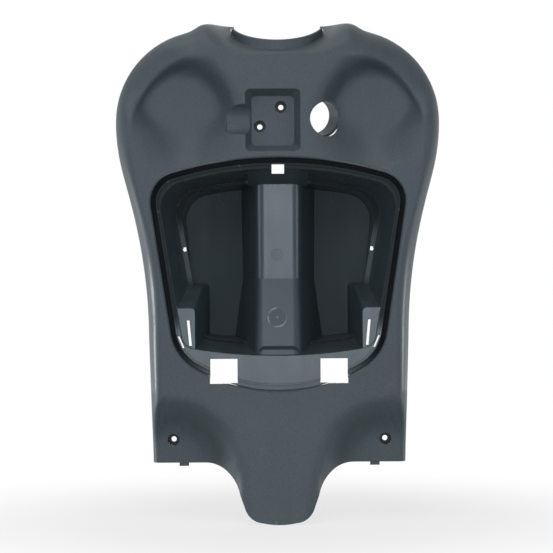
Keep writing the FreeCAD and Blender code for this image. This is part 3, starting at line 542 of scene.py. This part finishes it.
@dataclass(frozen=True)
class ZoneEdges:
    """Where the zones end, each as the values at which a mask is 0 and 1.

    Places are in metres. Facings go from -1 at the front to 1 at the back.

    Attributes:
        front: Facing of what looks to the front.
        back: Facing of the plain back.
        marked: Facing of what can bear a witness mark.
        wall_x: The compartment's side walls.
        mouth_y: The compartment's mouth, behind the rim plane.
        base_z: The compartment's lowest part.
        crest_z: The rim's upper edge at its middle.
        crest_radius: Radius of that edge.
        pocket_y: Depth of the pocket backs, where their painted shade starts and is full.
        flat_off: How far the shade of a flat reaches along the depth.
        groove_y: Depth of the groove's floor round the opening.
        groove_z: Where the painted shade of the groove sets in over the base.
        lip_near: Front of the lip between the groove and the compartment.
        lip_far: Depth of the ledge behind it.
        lip_z: Where the painted shade of lip and ledge sets in over the hinge blocks.
        lip_share: How much painted shade they take.
        step_y: Depth of the step, painted with shade, where the side walls turn back to the
            pockets.
        step_x: Where the step begins beside the column.
        glint_x: Where its stretch beside the screw holes, spared some painted shade to keep its
            highlight, begins.
        glint_low: Lower end of that stretch.
        glint_high: Upper end of that stretch.
        glint_share: How much painted shade that stretch is spared.
        mark_fade: How far a witness mark fades along the depth.
    """

    front: Span = (-0.60, -0.85)
    back: Span = (0.15, 0.45)
    marked: Span = (0.30, 0.05)
    wall_x: Span = (0.159, 0.151)
    mouth_y: Span = (RIM_PLANE + 0.0022, RIM_PLANE + 0.0050)
    base_z: Span = (0.055, 0.062)
    crest_z: Span = (0.3423, 0.3403)
    crest_radius: float = 0.450
    pocket_y: Span = (0.022, 0.042)
    flat_off: Span = (0.0014, 0.0007)
    groove_y: float = -0.022
    groove_z: Span = (0.070, 0.120)
    lip_near: Span = (-0.0348, -0.0340)
    lip_far: Span = (-0.0296, -0.0304)
    lip_z: Span = (0.130, 0.152)
    lip_share: float = 0.85
    step_y: float = 0.020
    step_x: Span = (0.034, 0.042)
    glint_x: Span = (0.100, 0.108)
    glint_low: Span = (0.178, 0.202)
    glint_high: Span = (0.274, 0.242)
    glint_share: float = 0.6
    mark_fade: float = 0.001


@dataclass(frozen=True)
class Wear:
    """How the grain and later use change the plastic.

    Attributes:
        grain_tone: Gain and base of the tone that the grain gives.
        scuff_tone: Gain in tone of a scratch, for each unit of a finish's scuff.
        edge_tone: Gain in tone of a rubbed edge.
        edge_rough: Change in roughness of a rubbed edge.
        dust_share: Share of dust in the colour of a surface that faces up.
        dust_rough: Change in roughness under dust.
        dust_colour: Linear colour of the dust.
        relief: Strength of grain and marks in the shading.
    """

    grain_tone: Span = (0.30, 0.85)
    scuff_tone: float = 2.0
    edge_tone: float = 0.55
    edge_rough: float = -0.10
    dust_share: float = 0.05
    dust_rough: float = 0.06
    dust_colour: Colour = (0.20, 0.20, 0.19)
    relief: float = 0.6


@dataclass
class Panel:
    """The moulding: its zones with their painted shade, rubbed edges, witness marks and painted
    seat shadows.

    Attributes:
        effects: The node groups.
        edges: Where the zones end.
        wear: How the grain and later use change the plastic.
        edge_radius: Rounding of the moulded edges in metres.
        specular: Specular level of the plastic.
        specular_tint: Colour of its reflections.
    """

    effects: Effects
    edges: ZoneEdges = ZoneEdges()
    wear: Wear = Wear()
    edge_radius: float = 0.0012
    specular: float = 0.40
    specular_tint: Colour = (0.80, 0.92, 1.0)

    def _zone(self, tree: Tree, place: Socket, zone: Zone) -> tuple[Socket, Socket, Socket]:
        """Lays one finish over the whole surface.

        Args:
            tree: The material's helper.
            place: Position on the moulding.
            zone: Which finish.

        Returns:
            Its colour, roughness and grain height in metres.
        """
        finish = FINISHES[zone]
        grain = tree.place(self.effects.grain, Vector=place, Pitch=finish.grain_pitch)
        flow = tree.place(self.effects.flow, Vector=place).outputs["Tone"]
        scuffs = tree.place(self.effects.scuffs, Vector=place).outputs["Mask"]
        dark = (*[(1.0 - finish.mottle) * part for part in finish.colour], 1.0)
        pale = (*[(1.0 + finish.mottle) * part for part in finish.colour], 1.0)
        tone = tree.math("MULTIPLY_ADD", grain.outputs["Tone"], *self.wear.grain_tone)
        tone = tree.math("MULTIPLY_ADD", scuffs, self.wear.scuff_tone * finish.scuff, tone)
        colour = tree.tint(tree.blend(flow, dark, pale), tone)
        lowest = finish.roughness - 0.5 * finish.spread
        rough = tree.math("MULTIPLY_ADD", flow, finish.spread, lowest)
        rough = tree.math("MULTIPLY_ADD", scuffs, -finish.scuff, rough)
        height = tree.math("MULTIPLY", grain.outputs["Height"], finish.grain_depth)
        return colour, rough, height

    def _inside(self, tree: Tree, parts: bpy.types.Node) -> Socket:
        """Masks the compartment: behind the rim plane and within its walls.

        Args:
            tree: The material's helper.
            parts: Node with the position's three coordinates.

        Returns:
            The mask.
        """
        across = tree.math("ABSOLUTE", parts.outputs["X"])
        square = tree.math("MULTIPLY", across, across)
        bend = 0.5 / self.edges.crest_radius
        crest = tree.math("MULTIPLY_ADD", square, bend, parts.outputs["Z"])
        return tree.product(tree.ramp(across, *self.edges.wall_x),
                            tree.ramp(parts.outputs["Y"], *self.edges.mouth_y),
                            tree.ramp(parts.outputs["Z"], *self.edges.base_z),
                            tree.ramp(crest, *self.edges.crest_z))

    def _level(self, tree: Tree, parts: bpy.types.Node, depth: float, ahead: Socket) -> Socket:
        """Masks a flat that faces the front at one depth.

        Args:
            tree: The material's helper.
            parts: Node with the position's three coordinates.
            depth: Where the flat lies along Y.
            ahead: Mask of the surfaces that face the front.

        Returns:
            The mask.
        """
        off = tree.math("ABSOLUTE", tree.math("SUBTRACT", parts.outputs["Y"], depth))
        return tree.product(tree.ramp(off, *self.edges.flat_off), ahead)

    def _step(self, tree: Tree, parts: bpy.types.Node, ahead: Socket) -> Socket:
        """Masks the painted shade on the side walls' step, lighter beside the screw holes to keep a
        highlight.

        Args:
            tree: The material's helper.
            parts: Node with the position's three coordinates.
            ahead: Mask of the surfaces that face the front.

        Returns:
            The mask.
        """
        across = tree.math("ABSOLUTE", parts.outputs["X"])
        # The stretch beside the screw holes is spared some painted shade so that the step's
        # highlight shows.
        wear_and_glint = tree.product(tree.ramp(parts.outputs["Z"], *self.edges.glint_low),
                            tree.ramp(parts.outputs["Z"], *self.edges.glint_high),
                            tree.ramp(across, *self.edges.glint_x))
        shaded = tree.math("MULTIPLY_ADD", wear_and_glint, -self.edges.glint_share, 1.0)
        flat = self._level(tree, parts, self.edges.step_y, ahead)
        return tree.product(flat, shaded, tree.ramp(across, *self.edges.step_x))

    def _mouth(self, tree: Tree, parts: bpy.types.Node, ahead: Socket) -> Socket:
        """Masks the painted shade in the groove round the opening and on the lip and ledge inside
        it.

        Args:
            tree: The material's helper.
            parts: Node with the position's three coordinates.
            ahead: Mask of the surfaces that face the front.

        Returns:
            The mask.
        """
        groove = tree.product(self._level(tree, parts, self.edges.groove_y, ahead),
                              tree.ramp(parts.outputs["Z"], *self.edges.groove_z))
        lip = tree.product(tree.ramp(parts.outputs["Y"], *self.edges.lip_near),
                           tree.ramp(parts.outputs["Y"], *self.edges.lip_far), ahead,
                           tree.ramp(parts.outputs["Z"], *self.edges.lip_z),
                           self.edges.lip_share)
        return tree.math("MAXIMUM", groove, lip)

    def _masks(self, tree: Tree, parts: bpy.types.Node, facing: Socket) -> dict[Zone, Socket]:
        """Builds the mask of each zone that lies over the show face.

        Args:
            tree: The material's helper.
            parts: Node with the position's three coordinates.
            facing: How far a surface faces back.

        Returns:
            The masks, in the order in which they are laid.
        """
        inside = self._inside(tree, parts)
        ahead = tree.ramp(facing, *self.edges.front)
        # Painted shade on the deep pocket backs that face the front.
        deep = tree.ramp(parts.outputs["Y"], *self.edges.pocket_y)
        step = self._step(tree, parts, ahead)
        # Painted shade on the step, in the groove and on the lip and ledge.
        dark = tree.math("MAXIMUM", step, self._mouth(tree, parts, ahead))
        return {
            Zone.COMPARTMENT: inside,
            Zone.POCKET_SHADE: tree.product(deep, ahead, inside),
            Zone.GROOVE_SHADE: tree.product(dark, inside),
            Zone.BACK: tree.ramp(facing, *self.edges.back),
        }

    def _marks(self, tree: Tree, place: Socket, parts: bpy.types.Node, ahead: Socket
               ) -> tuple[Socket, Socket]:
        """Lays all witness marks and the painted shadows in the screw seats.

        Args:
            tree: The material's helper.
            place: Position on the moulding.
            parts: Node with the position's three coordinates.
            ahead: Mask of the surfaces that don't face back.

        Returns:
            Their tone, 1 where there is none, and their height in metres.
        """
        fade = self.edges.mark_fade
        windows: dict[Span, Socket] = {}
        tone: Socket | None = None
        height: Socket | None = None
        for mark in MARKS:
            look = MARK_LOOKS[mark.kind]
            span = (look.near, look.far)
            if span not in windows:
                near = tree.ramp(parts.outputs["Y"], look.near - fade, look.near)
                far = tree.ramp(parts.outputs["Y"], look.far + fade, look.far)
                windows[span] = tree.product(near, far, ahead)
            spot = tree.place(self.effects.mark, Vector=place,
                              Centre=(mark.x, 0.0, mark.z), Radius=mark.radius)
            disc = tree.product(spot.outputs["Disc"], windows[span])
            ring = tree.product(spot.outputs["Ring"], windows[span])
            own = tree.math("MULTIPLY_ADD", disc, look.disc - 1.0, 1.0)
            own = tree.math("MULTIPLY_ADD", ring, look.ring - look.disc, own)
            lift = tree.math("MULTIPLY", ring, look.relief)
            tone = own if tone is None else tree.math("MULTIPLY", tone, own)
            height = lift if height is None else tree.math("ADD", height, lift)
        return tone, height

    def material(self) -> bpy.types.Material:
        """Builds the plastic with its zones and their painted shade, edges, dust, marks and painted
        seat shadows.

        Returns:
            The material.
        """
        material = bpy.data.materials.new("panel_plastic")
        material.use_nodes = True
        tree = Tree(material.node_tree)
        shader = material.node_tree.nodes["Principled BSDF"]
        shader.inputs["Specular IOR Level"].default_value = self.specular
        shader.inputs["Specular Tint"].default_value = (*self.specular_tint, 1.0)
        place = tree.add("ShaderNodeTexCoord").outputs["Object"]
        parts = tree.add("ShaderNodeSeparateXYZ")
        tree.join(place, parts.inputs[0])
        facing = tree.normal().outputs["Y"]
        colour, rough, height = self._zone(tree, place, Zone.SHOW_FACE)
        for zone, mask in self._masks(tree, parts, facing).items():
            over = self._zone(tree, place, zone)
            colour = tree.blend(mask, colour, over[0])
            rough = tree.mix(mask, rough, over[1])
            height = tree.mix(mask, height, over[2])
        rub = tree.place(self.effects.rub, Vector=place, Radius=self.edge_radius)
        wear_and_glint = rub.outputs["Mask"]
        dust = tree.place(self.effects.dust, Vector=place).outputs["Mask"]
        ahead = tree.ramp(facing, *self.edges.marked)
        tone, relief = self._marks(tree, place, parts, ahead)
        colour = tree.tint(colour, tone)
        colour = tree.tint(colour, tree.math("MULTIPLY_ADD", wear_and_glint, self.wear.edge_tone, 1.0))
        film = tree.math("MULTIPLY", dust, self.wear.dust_share)
        colour = tree.blend(film, colour, (*self.wear.dust_colour, 1.0))
        rough = tree.math("MULTIPLY_ADD", wear_and_glint, self.wear.edge_rough, rough)
        rough = tree.math("MULTIPLY_ADD", dust, self.wear.dust_rough, rough)
        bump = tree.add("ShaderNodeBump")
        bump.inputs["Distance"].default_value = 1.0
        bump.inputs["Strength"].default_value = self.wear.relief
        tree.join(tree.math("ADD", height, relief), bump.inputs["Height"])
        tree.join(rub.outputs["Normal"], bump.inputs["Normal"])
        tree.join(colour, shader.inputs["Base Color"])
        tree.join(rough, shader.inputs["Roughness"])
        tree.join(bump.outputs["Normal"], shader.inputs["Normal"])
        return material

    def dress(self) -> bpy.types.Object:
        """Gives the moulding its material.

        Returns:
            The moulding's object.
        """
        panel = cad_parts[NODE]
        panel.data.materials.clear()
        panel.data.materials.append(self.material())
        return panel


@dataclass(frozen=True)
class Lamp:
    """A soft rectangular lamp.

    Attributes:
        name: Name of the lamp.
        place: Where it stands.
        size: Width and height in metres.
        power: Power in watts.
    """

    name: str
    place: Point
    size: tuple[float, float]
    power: float

    def build(self, target: Point) -> None:
        """Adds the lamp and points it at the target."""
        light = bpy.data.lights.new(self.name, "AREA")
        light.shape = "RECTANGLE"
        light.size, light.size_y = self.size
        light.energy = self.power
        holder = bpy.data.objects.new(self.name, light)
        bpy.context.scene.collection.objects.link(holder)
        holder.location = self.place
        way = Vector(target) - Vector(self.place)
        holder.rotation_euler = way.to_track_quat("-Z", "Y").to_euler()
        holder.visible_camera = False


@dataclass
class Studio:
    """Pale floor, white surroundings and soft lamps.

    Attributes:
        floor_z: Height of the floor, under the lowest edge of the moulding.
        reach: Half size of the floor.
        shade: Share of the floor's own shading that the camera sees near the moulding.
        shade_reach: Distances from the middle at which that shading ends and is full.
        floor_colour: The floor's own colour.
        ambient: Strength of the light that the surroundings cast.
        target: What the lamps point at.
        lamps: The lamps.
    """

    floor_z: float = -0.0965
    reach: float = 6.0
    shade: float = 0.28
    shade_reach: Span = (0.60, 0.15)
    floor_colour: Colour = (0.55, 0.55, 0.55)
    ambient: float = 0.26
    target: Point = (0.0, 0.0, 0.2)
    lamps: tuple[Lamp, ...] = (
        Lamp("top_lamp", (-0.35, -0.40, 1.75), (1.5, 0.5), 7.5),
        Lamp("back_lamp", (0.30, 2.20, 0.90), (1.4, 0.9), 16.0),
        Lamp("key_lamp", (-0.30, -1.70, 1.60), (1.1, 0.8), 10.0),
        Lamp("left_lamp", (-1.00, 0.25, 0.02), (0.3, 0.25), 3.6),
        Lamp("right_lamp", (1.00, 0.25, 0.02), (0.3, 0.25), 1.6),
        Lamp("left_fill", (-1.70, -1.30, 0.30), (0.6, 0.6), 6.0),
        Lamp("right_fill", (1.70, -1.30, 0.30), (0.6, 0.6), 6.0),
        Lamp("front_lamp", (0.0, -2.7, 0.18), (0.9, 0.6), 18.0),
    )

    def _floor_material(self) -> bpy.types.Material:
        """Builds a white floor that keeps the moulding's shadow.

        Returns:
            The material.
        """
        material = bpy.data.materials.new("pale_floor")
        material.use_nodes = True
        material.node_tree.nodes.clear()
        tree = Tree(material.node_tree)
        place = tree.add("ShaderNodeTexCoord").outputs["Object"]
        reach = tree.vector("LENGTH", place).outputs["Value"]
        near = tree.math("MULTIPLY", tree.ramp(reach, *self.shade_reach), self.shade)
        white = tree.math("MULTIPLY", tree.seen(), tree.math("SUBTRACT", 1.0, near))
        glow = tree.add("ShaderNodeEmission")
        plain = tree.add("ShaderNodeBsdfDiffuse")
        plain.inputs["Color"].default_value = (*self.floor_colour, 1.0)
        blend = tree.add("ShaderNodeMixShader")
        tree.join(white, blend.inputs["Fac"])
        tree.join(plain.outputs[0], blend.inputs[1])
        tree.join(glow.outputs[0], blend.inputs[2])
        leave = tree.add("ShaderNodeOutputMaterial")
        tree.join(blend.outputs[0], leave.inputs["Surface"])
        return material

    def _world(self) -> None:
        """Sets an even white world, dimmer for the light that it casts."""
        world = bpy.data.worlds.new("studio")
        bpy.context.scene.world = world
        world.use_nodes = True
        world.node_tree.nodes.clear()
        tree = Tree(world.node_tree)
        glow = tree.add("ShaderNodeBackground")
        tree.join(tree.mix(tree.seen(), self.ambient, 1.0), glow.inputs["Strength"])
        glow.inputs["Color"].default_value = (1.0, 1.0, 1.0, 1.0)
        leave = tree.add("ShaderNodeOutputWorld")
        tree.join(glow.outputs[0], leave.inputs["Surface"])

    def build(self) -> bpy.types.Object:
        """Adds the floor, the world and the lamps.

        Returns:
            The floor.
        """
        mesh = bpy.data.meshes.new("floor")
        corners = [(-self.reach, -self.reach, 0.0), (self.reach, -self.reach, 0.0),
                   (self.reach, self.reach, 0.0), (-self.reach, self.reach, 0.0)]
        mesh.from_pydata(corners, [], [(0, 1, 2, 3)])
        floor = bpy.data.objects.new("floor", mesh)
        floor.location = (0.0, 0.0, self.floor_z)
        bpy.context.scene.collection.objects.link(floor)
        floor.data.materials.append(self._floor_material())
        self._world()
        for lamp in self.lamps:
            lamp.build(self.target)
        return floor


@dataclass
class Viewpoint:
    """Camera of the photograph.

    Attributes:
        distance: From the camera to the rim plane in metres.
        frame_width: Width of the picture at the rim plane.
        aim: Point at the middle of the picture.
        roll: Turn of the camera about its own axis in degrees.
        sensor: Width of the sensor in millimetres.
        far_clip: Farthest distance that the camera sees.
    """

    distance: float = 2.4
    frame_width: float = 0.6636
    aim: Point = (-0.0024, RIM_PLANE, 0.1974)
    roll: float = -0.35
    sensor: float = 36.0
    far_clip: float = 50.0

    def build(self) -> bpy.types.Object:
        """Adds the camera and makes it the scene's camera.

        Returns:
            The camera.
        """
        camera = bpy.data.cameras.new("camera")
        camera.sensor_width = self.sensor
        camera.lens = camera.sensor_width * self.distance / self.frame_width
        camera.clip_end = self.far_clip
        holder = bpy.data.objects.new("camera", camera)
        bpy.context.scene.collection.objects.link(holder)
        away = Vector((0.0, -1.0, 0.0))
        holder.location = Vector(self.aim) + away * self.distance
        look = (-away).to_track_quat("-Z", "Y").to_matrix().to_4x4()
        spin = Matrix.Rotation(math.radians(self.roll), 4, "Z")
        holder.rotation_euler = (look @ spin).to_euler()
        bpy.context.scene.camera = holder
        return holder


def main() -> None:
    """Builds the looks in order."""
    bpy.context.scene.view_settings.view_transform = "Standard"
    panel = Panel(Effects()).dress()
    LOG.info("dressed %s with %d marks", panel.name, len(MARKS))
    floor = Studio().build()
    LOG.info("laid %s and hung the lamps", floor.name)
    camera = Viewpoint().build()
    LOG.info("placed %s", camera.name)


if __name__ == "__main__":
    main()
